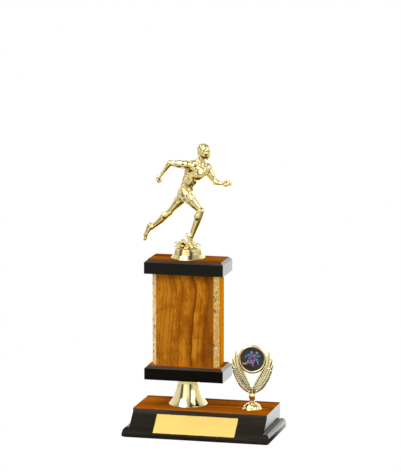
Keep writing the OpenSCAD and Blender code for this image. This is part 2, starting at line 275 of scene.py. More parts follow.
def gold_wing(n):
    """The feathers' plating, paler than the figure's, with less painted shade in the creases."""
    return gold(n, (1.0, 0.94, 0.60), (0.97, 0.89, 0.53), 0.4)


def lacquer(n, tones, edge):
    """Black gloss with a brownish painted sheen where edge is 1, and a pale painted reflection on slopes that
    face right.
    """
    facing = n.facing()
    rightward = n.ramp(facing["X"], [(0.2, 0.0), (0.6, 0.85)])
    sloped = n.ramp(facing["Z"], [(0.05, 0.0), (0.3, 1.0), (0.85, 1.0), (0.97, 0.0)])
    streaks = n.noise((9, 60, 260), detail=5.0, roughness=0.65)
    dust = n.noise(scale=900.0, detail=3.0)
    # Browns of a painted sheen, laid over the black where edge is 1
    painted_sheen_browns = [(0.3, (0.025, 0.017, 0.010)), (0.5, (0.066, 0.050, 0.034)), (0.7, (0.13, 0.11, 0.09))]
    tone = n.mix(edge, n.ramp(streaks, tones), n.ramp(streaks, painted_sheen_browns))
    # A pale painted reflection on slopes that face right
    tone = n.mix(n.times(rightward, sloped), tone, (0.31, 0.30, 0.285, 1))
    rough = n.scaled(streaks, 0.10, 0.05)
    ripple = bump(n, n.scaled(dust, 0.2, streaks), 0.04, 0.0004)
    return {"Base Color": tone, "Roughness": rough, "IOR": 1.27, "Normal": ripple}


def black(n):
    # Painted brownish sheen on surfaces that tilt upward, such as the bevels
    bevel_sheen = n.ramp(n.facing()["Z"], [(0.4, 0.0), (0.62, 0.8), (0.8, 0.8), (0.95, 0.0)])
    return lacquer(n, [(0.35, (0.0016, 0.0014, 0.0011)), (0.7, (0.004, 0.0035, 0.003))], bevel_sheen)


def black_plinth(n):
    """The plinth's lacquer: a little browner, with a streaky painted highlight along the top lip."""
    tens = n.times(n.place()["Z"], 10.0)
    # Painted highlight: a band at the height of the top lip
    lip_highlight = n.ramp(tens, [(0.226, 0.0), (0.236, 0.75), (0.262, 0.9), (0.27, 0.5)])
    tones = [(0.35, (0.012, 0.010, 0.0075)), (0.55, (0.022, 0.018, 0.013)), (0.75, (0.040, 0.032, 0.024))]
    return lacquer(n, tones, lip_highlight)


def wood_finish(n, tone, fibre, pore):
    """The foil's dull surface, pitted by its pores."""
    pits = bump(n, n.scaled(pore, -0.6, fibre), 0.12, 0.0003)
    rough = n.scaled(fibre, 0.15, 0.40)
    return {"Base Color": tone, "Roughness": rough, "Specular IOR Level": 0.0, "Normal": pits}


def wood_grain(n, grain, tones, vein_tone, veins, pore_tone, depth=0.6):
    """Printed wood grain. grain stretches the noise, tones are the ramp under the veins and pores."""
    warp = n.noise(grain, detail=1.0, roughness=0.4)
    fibre = n.noise(tuple(11 * v for v in grain), detail=6.0, roughness=0.7)
    lines = n.math("FRACT", n.scaled(warp, veins, n.times(fibre, 0.12)))
    fades = [(0.0, 1.0), (0.06, 0.8), (0.16, 0.3), (0.45, 0.0), (0.96, 0.0), (1.0, 1.0)]
    base = n.ramp(n.scaled(fibre, 0.6, n.times(lines, 0.4)), tones)
    base = n.mix(n.times(n.ramp(lines, fades, "EASE"), depth), base, vein_tone)
    pore = n.ramp(n.noise(tuple(36 * v for v in grain)), [(0.54, 0.0), (0.68, 1.0)])
    return wood_finish(n, n.mix(n.times(pore, 0.45), base, pore_tone), fibre, pore)


def wood(n, light=0.82):
    tones = [(0.25, (0.23, 0.050, 0.002)), (0.48, (0.34, 0.092, 0.005)), (0.75, (0.46, 0.145, 0.011))]
    tones = [(place, tuple(light * c for c in tone)) for place, tone in tones]
    return wood_grain(n, (4, 60, 60), tones, (0.16, 0.030, 0.001, 1), 3.0, (0.18, 0.036, 0.001, 1), 0.65)


def wood_painted_lighter(n):
    """The same foil lower down, painted lighter where less light reaches it."""
    return wood(n, 1.2)


# The column's dark vein: how far it lies right of the middle, in millimetres, from the foot to the top
VEIN_SWAY = [
    (0.0, 7.6), (0.14, 7.2), (0.3, 7.8), (0.45, 9.0), (0.6, 10.2), (0.72, 12.2), (0.83, 13.4),
    (0.92, 11.6), (1.0, 8.6),
]
# Darkness across the faces, in millimetres from that vein
VEIN_BANDS = [
    (-45, 0.35), (-36.5, 0.2), (-35.8, 0.6), (-35.0, 0.2), (-32.6, 0.3), (-32.0, 0.7), (-31.2, 0.2),
    (-27.0, 0.2), (-26.3, 0.6), (-25.4, 0.2), (-22.8, 0.25), (-22.2, 0.55), (-21.4, 0.1),
    (-17.0, 0.15), (-15.6, 0.35), (-15.0, 0.85), (-14.2, 0.15), (-9.0, 0.1), (-4.2, 0.45),
    (-1.3, 0.75), (-0.5, 1.0), (0.1, 1.0), (0.8, 0.05), (4.0, 0.0), (7.0, 0.4), (8.6, 0.2),
    (11.0, 0.55), (13.5, 0.85), (16.0, 0.7), (22.0, 0.6),
]


def wood_upright(n):
    """The column's faces: near-vertical lines that sway with one dark vein, and browner patches."""
    place = n.place()
    low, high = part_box("column_front_veneer")
    height = n.add("MapRange", {0: place["Z"], 1: low.z, 2: high.z}).outputs[0]
    sway = n.ramp(height, [(at, right / 20) for at, right in VEIN_SWAY], "B_SPLINE")
    wander = n.noise((30, 30, 45), detail=3.0, roughness=0.55)
    from_middle = n.minus(n.times(place["X"], 1000.0), (low.x + high.x) / 2 * 1000)
    from_vein = n.scaled(sway, -20.0, n.scaled(wander, 3.0, from_middle))
    first, last = VEIN_BANDS[0][0], VEIN_BANDS[-1][0]
    share = n.add("MapRange", {0: n.minus(from_vein, 1.5), 1: first, 2: last}).outputs[0]
    bands = n.ramp(share, [((at - first) / (last - first), dark) for at, dark in VEIN_BANDS], "EASE")
    fibre = n.noise((900, 900, 45), detail=6.0, roughness=0.7)
    patches = n.noise((60, 60, 28), detail=4.0, roughness=0.65)
    pore = n.ramp(n.noise((1900, 1900, 170), detail=3.0), [(0.55, 0.0), (0.66, 1.0)])
    tones = [(0.28, (0.58, 0.190, 0.010)), (0.5, (0.72, 0.275, 0.018)), (0.72, (0.82, 0.360, 0.030))]
    tone = n.ramp(fibre, tones)
    tone = n.mix(n.ramp(patches, [(0.44, 0.0), (0.62, 0.75)], "EASE"), tone, (0.33, 0.092, 0.004, 1))
    tone = n.mix(n.times(bands, n.scaled(fibre, 0.5, 0.7)), tone, (0.19, 0.040, 0.002, 1))
    tone = n.mix(n.times(pore, 0.6), tone, (0.24, 0.056, 0.003, 1))
    return wood_finish(n, tone, fibre, pore)


def light_wood(n):
    tones = [(0.25, (0.58, 0.160, 0.001)), (0.48, (0.70, 0.225, 0.002)), (0.75, (0.80, 0.290, 0.005))]
    dark = (0.26, 0.075, 0.003, 1)
    return wood_grain(n, (80, 80, 4), tones, dark, 4.0, dark)


def particle_board(n):
    chips = n.add("TexVoronoi", {0: along(n, (420, 420, 900)), "Scale": 1.0, "Randomness": 1.0})
    shade = n.add("SeparateColor", {0: chips.outputs["Color"]}).outputs[0]
    tone = n.ramp(shade, [(0.0, (0.30, 0.17, 0.07)), (0.5, (0.48, 0.30, 0.14)), (1.0, (0.62, 0.44, 0.24))])
    return {"Base Color": tone, "Roughness": 0.85, "Normal": bump(n, chips.outputs["Distance"], 0.6, 0.0006)}


def plate(n):
    brushed = n.noise((30, 900, 900), detail=4.0)
    golds = [(0.3, (0.96, 0.64, 0.15)), (0.7, (1.0, 0.76, 0.22))]
    tone = n.ramp(n.scaled(grime(n, 30), 0.5, n.times(brushed, 0.5)), golds)
    rough, lines = n.scaled(brushed, 0.14, 0.30), bump(n, brushed, 0.06, 0.0002)
    return {"Base Color": tone, "Metallic": 0.55, "Roughness": rough, "Normal": lines}


def prism_tape(n):
    """Small tilted cells of foil, each in one of a few golds."""
    turned = along(n, (430, 430, 330), (0, 0.5, 0))
    cells = n.add("TexVoronoi", {0: turned, "Scale": 1.0, "Randomness": 1.0}, distance="CHEBYCHEV")
    pick = n.add("SeparateColor", {0: cells.outputs["Color"]}).outputs
    hues = [
        (0.0, (0.88, 0.50, 0.12)), (0.16, (0.95, 0.62, 0.20)), (0.36, (0.98, 0.70, 0.30)),
        (0.50, (0.32, 0.23, 0.06)), (0.55, (0.95, 0.44, 0.20)), (0.66, (0.95, 0.76, 0.12)),
        (0.76, (1.0, 0.88, 0.54)), (0.86, (0.92, 0.52, 0.18)), (0.95, (0.60, 0.54, 0.18)),
    ]
    tone = n.ramp(pick[0], hues, "CONSTANT")
    rough = n.scaled(pick[1], 0.25, 0.18)
    facet = bump(n, n.scaled(cells.outputs["Distance"], 1.0, n.times(pick[2], 0.5)), 0.45, 0.0005)
    return {"Base Color": tone, "Metallic": 0.35, "Roughness": rough, "Normal": facet}


def steel(n):
    turned = n.noise((120, 120, 1800), detail=3.0)
    tone = n.ramp(turned, [(0.3, (0.48, 0.48, 0.47)), (0.7, (0.70, 0.70, 0.68))])
    rough = n.scaled(turned, 0.2, 0.22)
    return {"Base Color": tone, "Metallic": 1.0, "Roughness": rough, "Normal": bump(n, turned, 0.2, 0.0002)}


def felt(n):
    fuzz = n.noise(scale=2600.0, detail=5.0, roughness=0.8)
    tone = n.ramp(fuzz, [(0.35, (0.004, 0.004, 0.004)), (0.7, (0.03, 0.03, 0.032))])
    return {"Base Color": tone, "Roughness": 0.95, "Sheen Weight": 0.4, "Normal": bump(n, fuzz, 0.8, 0.0006)}


def tape(n):
    foam = n.add("TexVoronoi", {0: along(n, (1, 1, 1)), "Scale": 1800.0}).outputs["Distance"]
    tone = n.ramp(foam, [(0.1, (0.55, 0.55, 0.53)), (0.6, (0.75, 0.75, 0.73))])
    return {"Base Color": tone, "Roughness": 0.6, "Normal": bump(n, foam, 0.3, 0.0003)}


def printed_disc(n):
    dots = grime(n, 90)
    tone = n.ramp(dots, [(0.3, (0.030, 0.028, 0.031)), (0.7, (0.060, 0.056, 0.062))])
    return {"Base Color": tone, "Roughness": 0.22, "IOR": 1.4, "Normal": bump(n, dots, 0.04, 0.0003)}


def printed_ink(n):
    """Bright inks that run from teal through violet and pink to orange, in soft patches."""
    place = n.place()
    blots = n.noise(scale=170.0)
    slant = n.scaled(place["Z"], 26.0, n.times(place["X"], 14.0))
    flow = n.plus(n.scaled(blots, 1.5, slant), -3.10)
    hues = [
        (0.0, (0.85, 0.30, 0.10)), (0.16, (0.78, 0.55, 0.18)), (0.28, (0.70, 0.13, 0.30)),
        (0.42, (0.42, 0.20, 0.52)), (0.56, (0.12, 0.30, 0.62)), (0.70, (0.08, 0.40, 0.52)),
        (0.84, (0.46, 0.28, 0.60)), (1.0, (0.42, 0.62, 0.58)),
    ]
    return {"Base Color": n.ramp(flow, hues, "EASE"), "Roughness": n.scaled(blots, 0.2, 0.2)}


FINISHES = {
    "gold_plating": gold,
    "gold_rim": gold_rim,
    "gold_wing": gold_wing,
    "black_gloss": black,
    "wood_foil": wood,
    "wood_upright": wood_upright,
    "wood_painted_lighter": wood_painted_lighter,
    "black_plinth": black_plinth,
    "wood_foil_light": light_wood,
    "particle_board": particle_board,
    "prism_tape": prism_tape,
    "plate_metal": plate,
    "felt": felt,
    "tape": tape,
    "steel": steel,
    "printed_disc": printed_disc,
    "printed_ink": printed_ink,
}

materials = {slot: material(slot, build) for slot, build in FINISHES.items()}

# Nodes whose finish differs from the rest of their slot
OWN_FINISH = {
    "column_front_veneer": "wood_upright",
    "column_back_veneer": "wood_upright",
    "plinth_core": "black_plinth",
    "plinth_veneer": "wood_painted_lighter",
    "lower_slab_veneer": "wood_painted_lighter",
}
# Widths of the rounded edges, in millimetres
EDGES = {"black_gloss": 0.3, "plate_metal": 0.12, "gold_plating": 0.25, "steel": 0.15}


def dress_frame():
    for part in frame["record"]["subparts"]:
        name, slot = part["node"], part["material_slot"]
        node = frame["nodes"][name]
        node.data.materials.clear()
        node.data.materials.append(materials[OWN_FINISH.get(name, slot)])
        if slot in EDGES:
            rounding = node.modifiers.new("edges", "BEVEL")
            rounding.width = EDGES[slot] * MM
            rounding.segments = 3
            rounding.limit_method = "ANGLE"
            rounding.angle_limit = math.radians(32)
            rounding.harden_normals = True


dress_frame()


# ---------------------------------------------------------------- clay: forms blended on a grid


def unit(v):
    v = np.asarray(v, float)
    return v / np.linalg.norm(v)


def spot(a, b, share):
    """The point that lies that share of the way from a to b."""
    return np.asarray(a, float) + (np.asarray(b, float) - np.asarray(a, float)) * share


class Frame:
    """A place with three directions: forward, to its left, and up."""

    def __init__(self, centre, up, forward):
        self.centre = np.asarray(centre, float)
        self.up = unit(up)
        forward = np.asarray(forward, float)
        self.forward = unit(forward - self.up * (forward @ self.up))
        self.left = np.cross(self.up, self.forward)

    def at(self, forward, left, up):
        return self.centre + forward * self.forward + left * self.left + up * self.up

    def egg(self, place, radii):
        """An ellipsoid along this frame's directions, at a place given as forward, left, up."""
        return Egg(self.at(*place), radii, (self.forward, self.left, self.up))

    def limb(self, a, b, *radii, **shape):
        return Limb(self.at(*a), self.at(*b), *radii, **shape)


class Limb:
    """A taper from a to b, swollen by belly at the share peak. thin=(direction, share) flattens it."""

    def __init__(self, a, b, r_a, r_b, belly=0.0, peak=0.5, thin=None):
        self.a, self.b = np.asarray(a, float), np.asarray(b, float)
        self.radii, self.belly, self.peak = (r_a, r_b), belly, peak
        self.thin = None if thin is None else (unit(thin[0]), thin[1])
        self.points = np.array([self.a, self.b])
        self.reach = max(r_a, r_b) + abs(belly)

    def distance(self, x, y, z):
        along = self.b - self.a
        x, y, z = x - self.a[0], y - self.a[1], z - self.a[2]
        share = np.clip((x * along[0] + y * along[1] + z * along[2]) / (along @ along), 0, 1)
        x, y, z = x - share * along[0], y - share * along[1], z - share * along[2]
        square = x * x + y * y + z * z
        if self.thin:
            way, flat = self.thin
            across = x * way[0] + y * way[1] + z * way[2]
            square = square + across * across * (1 / flat**2 - 1)
        radius = self.radii[0] + (self.radii[1] - self.radii[0]) * share
        if self.belly:
            bend = math.log(0.5) / math.log(self.peak)
            radius = radius + self.belly * np.sin(math.pi * share**bend) ** 2
        return np.sqrt(square) - radius


class Egg:
    """An ellipsoid, with its three radii along the three axes."""

    def __init__(self, centre, radii, axes=((1, 0, 0), (0, 1, 0), (0, 0, 1))):
        self.centre, self.radii, self.axes = np.asarray(centre, float), radii, np.asarray(axes, float)
        self.points = self.centre[None]
        self.reach = max(radii)

    def distance(self, x, y, z):
        x, y, z = x - self.centre[0], y - self.centre[1], z - self.centre[2]
        near = far = 0.0
        for radius, axis in zip(self.radii, self.axes):
            part = (x * axis[0] + y * axis[1] + z * axis[2]) / radius
            near = near + part * part
            far = far + (part / radius) ** 2
        near, far = np.sqrt(near), np.sqrt(far)
        return near * (near - 1) / np.maximum(far, 1e-6)


class Clay:
    """Forms blended into one skin on a grid of distances. Units are millimetres."""

    FAR = 4.0

    def __init__(self, low, high, pitch):
        self.low, self.pitch = np.asarray(low, float), pitch
        counts = np.ceil((np.asarray(high, float) - self.low) / pitch).astype(int) + 1
        self.field = np.full(counts, self.FAR, np.float32)

    def lines(self):
        """The grid's places along X, Y and Z."""
        shape = self.field.shape
        return [(low + self.pitch * np.arange(count)).astype(np.float32) for low, count in zip(self.low, shape)]

    def near(self, form, reach):
        """The part of the grid within reach of a form, and its x, y and z."""
        first = np.floor((form.points.min(0) - reach - self.low) / self.pitch).astype(int).clip(0)
        last = np.ceil((form.points.max(0) + reach - self.low) / self.pitch).astype(int) + 1
        last = np.maximum(np.minimum(last, self.field.shape), first)
        window = tuple(slice(a, b) for a, b in zip(first, last))
        lines = [line[a:b] for line, a, b in zip(self.lines(), first, last)]
        return window, np.meshgrid(*lines, indexing="ij", sparse=True)

    def add(self, *forms, blend=1.0):
        for form in forms:
            window, grid = self.near(form, form.reach + blend + 2 * self.pitch)
            if self.field[window].size:
                self.field[window] = soft_min(self.field[window], form.distance(*grid), blend)

    def cut(self, *forms, blend=0.4):
        for form in forms:
            window, grid = self.near(form, form.reach + blend + 2 * self.pitch)
            if self.field[window].size:
                self.field[window] = -soft_min(-self.field[window], form.distance(*grid), blend)

    def trim(self, place, way, over=0.0):
        """Keep what lies behind a plane through place, facing way, plus a little over."""
        x, y, z = np.meshgrid(*self.lines(), indexing="ij", sparse=True)
        beyond = (x - place[0]) * way[0] + (y - place[1]) * way[1] + (z - place[2]) * way[2] - over
        self.field = np.maximum(self.field, beyond.astype(np.float32))

    def skin(self, name):
        """The clay's surface as a mesh object with smooth shading, still in millimetres."""
        grid = vdb.FloatGrid(self.FAR)
        grid.copyFromArray(self.field)
        points, quads = grid.convertToQuads(0.0)
        mesh = bpy.data.meshes.new(name)
        mesh.from_pydata((points * self.pitch + self.low).tolist(), [], quads[:, ::-1].tolist())
        mesh.shade_smooth()
        skinned = bpy.data.objects.new(name, mesh)
        bpy.context.collection.objects.link(skinned)
        return skinned


def soft_min(a, b, blend):
    """The smaller of two distances, rounded off where they are within blend of each other."""
    overlap = np.maximum(blend - np.abs(a - b), 0) / blend
    return np.minimum(a, b) - overlap * overlap * blend / 4


# ---------------------------------------------------------------- the runner

# Joints in millimetres, from the middle of the pedestal's foot. The runner faces +X with the
# chest turned to the front, the near (right) leg planted and the far (left) leg trailing.
JOINT = {
    "head": (17.9, -0.5, 115.6),
    "nape": (16.4, -0.2, 108.6),
    "collar": (13.4, 0.2, 101.6),
    "chest": (8.6, 0.2, 92.2),
    "waist": (-0.6, 0.0, 77.5),
    "pelvis": (-2.8, 0.0, 69.6),
    "near_shoulder": (1.4, -7.6, 101.4),
    "near_elbow": (-18.0, -6.6, 102.6),
    "near_wrist": (-26.8, -5.0, 90.8),
    "near_fist": (-30.8, -4.6, 85.6),
    "far_shoulder": (19.2, 7.0, 98.0),
    "far_elbow": (28.0, 6.2, 82.0),
    "far_wrist": (37.8, 3.6, 80.6),
    "far_fist": (41.8, 2.6, 80.4),
    "near_hip": (0.0, -4.8, 67.4),
    "near_knee": (14.8, -5.2, 52.6),
    "near_ankle": (3.9, -3.6, 24.8),
    "near_ball": (5.2, -3.4, 16.6),
    "near_toe": (8.6, -3.6, 14.9),
    "far_hip": (-5.4, 4.8, 66.4),
    "far_knee": (-21.8, 4.8, 47.4),
    "far_ankle": (-41.4, 4.8, 31.0),
    "far_ball": (-46.0, 4.7, 22.4),
    "far_toe": (-49.0, 4.6, 18.4),
}
JOINT = {name: np.array(place) for name, place in JOINT.items()}
TORSO = Frame(JOINT["chest"], JOINT["collar"] - JOINT["waist"], (0.64, -0.77, 0))
HEAD = Frame(JOINT["head"], (0.1, 0, 1), (0.97, -0.24, -0.05))
THROAT = Frame(JOINT["collar"] * 0.4 + JOINT["nape"] * 0.6, JOINT["nape"] - JOINT["collar"], (1, 0, 0))
PELVIS = Frame(JOINT["pelvis"], (0.25, 0, 0.97), (0.93, -0.36, 0))
SIDES = {"near": -1, "far": 1}


def trunk(clay):
    t, p = TORSO, PELVIS
    clay.add(
        t.egg((0, 0, 1), (6.6, 9.6, 11.0)),
        t.egg((-0.6, 0, -8), (5.8, 7.4, 9.0)),
        Limb(t.at(0.2, 0, -8), p.at(0.2, 0, 2), 6.2, 6.2, thin=(t.forward, 0.86)),
        p.egg((-0.2, 0, 0.4), (6.2, 7.8, 6.4)),
        blend=3.0,
    )
    for way in (-1, 1):
        loin = spot(p.at(0, way * 5.4, 5), t.at(-1, way * 6, -12), 0.4)
        clay.add(Limb(t.at(-1.4, way * 7.6, 4), loin, 4.6, 3.4, belly=0.4, thin=(t.forward, 0.8)), blend=3.0)
    for way in (-1, 1):
        clay.add(
            t.egg((3.9, way * 3.6, 4.2), (3.0, 5.4, 4.2)),
            t.egg((-4.4, way * 4.8, 4.4), (2.6, 4.4, 5.6)),
            Limb(t.at(-5.0, way * 1.9, 0), p.at(-4.6, way * 1.9, 4), 1.8, 1.9),
            p.egg((-3.0, way * 3.7, -1.8), (4.3, 4.0, 4.8)),
            blend=2.6,
        )
        collarbone_end = spot(t.at(3.0, way * 8.6, 10.2), t.at(2, way * 6, 9.8), 0.3)
        clay.add(Limb(t.at(4.6, way * 1.0, 9.4), collarbone_end, 0.9, 0.8), blend=1.4)
        for rank in range(3):
            clay.add(t.egg((5.2 - 0.35 * rank, way * 1.75, -3.4 - 4.1 * rank), (1.5, 1.85, 2.2)), blend=2.0)
    # The front of the singlet hangs straight down from the leaning chest
    hang = Frame(t.at(3.6, 0.9, 0.4), (-0.16, 0.12, 1), (0.56, -0.83, 0.2))
    clay.add(hang.egg((0, 0, 0), (5.8, 7.8, 7.2)), blend=1.4)
    clay.cut(Limb(t.at(-7.9, 0, 6), p.at(-7.5, 0, 5), 0.9, 0.9), blend=1.6)
    clay.cut(p.limb((-9.0, 0, -1), (-5.4, 0, -6.6), 1.0, 1.2), blend=1.4)


def neck(clay):
    t = TORSO
    clay.add(Limb(JOINT["collar"] - t.forward * 0.4, HEAD.at(-2.4, 0, -4.0), 4.1, 3.6), blend=2.0)
    for side, way in SIDES.items():
        yoke = spot(t.at(-1.6, way * 3.0, 10.6), JOINT[side + "_shoulder"], 0.62)
        nape = spot(JOINT["nape"], JOINT["collar"], 0.45) - t.forward * 1.6
        clay.add(Limb(nape, yoke, 2.2, 2.7), blend=3.2)
        behind_ear = HEAD.at(-2.6, way * 3.5, -3.8)
        clay.add(Limb(t.at(4.6, way * 0.9, 10.0), behind_ear, 0.9, 1.2, belly=0.3), blend=1.2)
    clay.cut(Egg(t.at(6.2, 0, 11.4), (1.0, 0.9, 1.0)), blend=1.4)


def arm(clay, side):
    shoulder, elbow, wrist = (JOINT[f"{side}_{part}"] for part in ("shoulder", "elbow", "wrist"))
    upper, fore = unit(elbow - shoulder), unit(wrist - elbow)
    inside = unit(fore - upper * (fore @ upper))
    out = unit(shoulder - TORSO.centre)
    across = np.cross(upper, inside)

    def muscle(start, end, offset, belly, peak=0.5):
        """A long muscle on the upper arm, offset to its inner side or behind it."""
        a = spot(shoulder, elbow, start) + inside * offset[0]
        return Limb(a, spot(shoulder, elbow, end) + inside * offset[1], 2.2, 1.6, belly=belly, peak=peak)

    clay.add(Limb(spot(shoulder, TORSO.centre, 0.2), elbow, 4.0, 2.8, belly=0.2), blend=3.0)
    clay.add(
        Egg(spot(shoulder, elbow, 0.1) + out * 0.3, (4.4, 4.3, 4.4)),
        Limb(shoulder + out * 0.5, spot(shoulder, elbow, 0.55), 3.8, 1.6),
        blend=2.2,
    )
    clay.add(muscle(0.3, 0.86, (1.2, 0.9), 1.1), muscle(0.2, 0.8, (-1.0, -0.8), 1.3, 0.45), blend=2.2)
    clay.add(Egg(elbow - (unit(inside - upper)) * 0.9, (2.1, 2.1, 2.1)), blend=1.0)
    clay.add(Limb(elbow, wrist, 2.5, 1.7, belly=0.3, peak=0.3, thin=(across, 0.9)), blend=1.8)
    for way, end, belly in ((1, 0.7, 0.9), (-1, 0.66, 1.0)):
        strand = (elbow + across * way * 0.8, spot(elbow, wrist, end) + across * way * 0.5)
        clay.add(Limb(*strand, 1.7, 1.2, belly=belly, peak=0.4), blend=1.8)


def fist(clay, side, palm):
    """A closed hand: four curled fingers with the thumb laid over them."""
    wrist, centre = JOINT[side + "_wrist"], JOINT[side + "_fist"]
    hand = Frame(centre, palm, centre - wrist)
    thumb = -SIDES[side]
    clay.add(Limb(wrist, hand.at(-1.6, 0, -0.4), 1.9, 2.4), blend=1.0)
    for left in (-1.2, 1.2):
        clay.add(hand.limb((-1.6, left, -0.9), (1.2, left, -1.3), 1.9, 1.8), blend=0.8)
    clay.add(hand.egg((-0.4, 0, 0.6), (2.6, 3.0, 2.0)), blend=0.8)
    for finger in range(4):
        across = thumb * (2.9 - 1.9 * finger)
        bend = 0.35 * abs(finger - 1.2)
        bones = [(1.6 - bend, -1.5), (4.0 - bend, 0.2), (2.9 - bend, 2.5), (0.6, 2.3)]
        places = [hand.at(ahead, across, rise) for ahead, rise in bones]
        for a, b, girth in zip(places, places[1:], (1.18, 1.08, 1.0)):
            clay.add(Limb(a, b, girth, girth * 0.94), blend=0.3)
    knuckle = (0.6, thumb * 3.7, 2.4)
    clay.add(hand.limb((-2.4, thumb * 2.6, 0.6), knuckle, 1.5, 1.15), blend=0.7)
    clay.add(hand.limb(knuckle, (2.6, thumb * 1.5, 3.7), 1.15, 0.9), blend=0.3)


def leg(clay, side, calf_side, ahead, calf):
    """One leg. ahead moves the shin forward of its joints, calf fills out the muscle behind it."""
    hip, knee, ankle = (JOINT[f"{side}_{part}"] for part in ("hip", "knee", "ankle"))
    thigh, shin = unit(knee - hip), unit(ankle - knee)
    calf_side = np.asarray(calf_side, float)
    back = unit(calf_side - shin * (calf_side @ shin))
    under = unit(calf_side - thigh * (calf_side @ thigh))
    across, beside = np.cross(thigh, under), np.cross(shin, back)

    def on_thigh(share, down=0.0, out=0.0):
        return spot(hip, knee, share) + under * down + across * out

    def on_shin(share, behind=0.0, out=0.0):
        return spot(knee, ankle, share) + back * behind + beside * out

    clay.add(Limb(hip, knee, 6.3, 3.5, belly=0.3, peak=0.35), blend=2.4)
    clay.add(
        Limb(on_thigh(0.2, -1.3), on_thigh(0.82, -1.0), 3.9, 2.2, belly=1.0, peak=0.45),
        Limb(on_thigh(0.45, -0.8, 1.6), on_thigh(0.9, -1.0, 1.5), 2.2, 1.5, belly=0.8),
        Limb(on_thigh(0.4, -0.8, -1.7), on_thigh(0.86, -1.0, -1.5), 2.2, 1.5, belly=0.8),
        Limb(on_thigh(0.1, 1.4, 1), on_thigh(0.9, 0.9, 1.5), 3.3, 1.5, belly=1.0),
        Limb(on_thigh(0.1, 1.4, -1), on_thigh(0.9, 0.9, -1.5), 3.3, 1.5, belly=1.0),
        blend=1.2,
    )
    clay.add(Egg(knee + unit(-under - back) * 2.0, (2.1, 2.1, 2.3)), blend=1.1)
    clay.add(Limb(on_shin(0, -0.6 * ahead), on_shin(1, -ahead), 3.9, 2.5, belly=0.4, peak=0.4), blend=1.2)
    clay.add(
        Limb(on_shin(0.06, 1.2, 1.2), on_shin(0.56, calf, 0.8), 2.2, 1.4, belly=1.9, peak=0.45),
        Limb(on_shin(0.06, 1.2, -1.2), on_shin(0.5, calf, -0.8), 2.2, 1.4, belly=1.8, peak=0.45),
        Limb(on_shin(0.4, 1.2), on_shin(1, 1.2), 1.7, 0.9),
        Limb(on_shin(0.08, -1.4 - ahead), on_shin(0.8, -0.9 - ahead), 2.0, 1.5, belly=0.5),
        blend=1.0,
    )
    for way in (-1, 1):
        clay.add(Egg(on_shin(1, 0, way * 1.5), (1.2, 1.2, 1.2)), blend=0.8)


def shoe(clay, side, sole_side):
    """A running shoe: rounded upper, sole with an edge, padded collar and laces."""
    ankle, ball, toe = (JOINT[f"{side}_{part}"] for part in ("ankle", "ball", "toe"))
    sole_side = np.asarray(sole_side, float)
    rear = Frame(ankle, -sole_side, ball - ankle)
    fore = Frame(ball, -(sole_side + unit(ball - ankle) * 0.2), toe - ball)
    reach, tip = np.linalg.norm(ball - ankle), np.linalg.norm(toe - ball)
    heel = rear.at(-0.8, 0, -2.6)
    clay.add(Limb(ankle, heel, 2.2, 2.4), blend=1.0)
    clay.add(rear.limb((-0.4, 0, -0.4), (reach * 0.62, 0, -1.2), 2.5, 2.4), blend=1.0)
    clay.add(Limb(heel, rear.at(reach, 0, -1.4), 2.5, 2.7, thin=(rear.up, 0.85)), blend=1.2)
    instep = rear.at(reach * 0.9, 0, -1.2)
    clay.add(Limb(instep, fore.at(tip, 0, -0.6), 2.6, 2.1, thin=(rear.up, 0.8)), blend=1.0)
    arch, tread = rear.at(reach * 0.5, 0, -3.7), rear.at(reach, 0, -3.0)
    clay.add(
        Limb(rear.at(-1.0, 0, -4.7), arch, 3.0, 2.7, thin=(rear.up, 0.3)),
        Limb(arch, tread, 2.7, 3.3, thin=(rear.up, 0.3)),
        Limb(tread, fore.at(tip, 0, -2.0), 3.3, 2.7, thin=(fore.up, 0.3)),
        blend=0.35,
    )
    for lace in range(4):
        ahead, rise = reach * (0.3 + 0.13 * lace), 0.95 - 0.12 * lace
        clay.add(rear.limb((ahead, -1.3, rise), (ahead, 1.3, rise), 0.34, 0.34), blend=0.2)


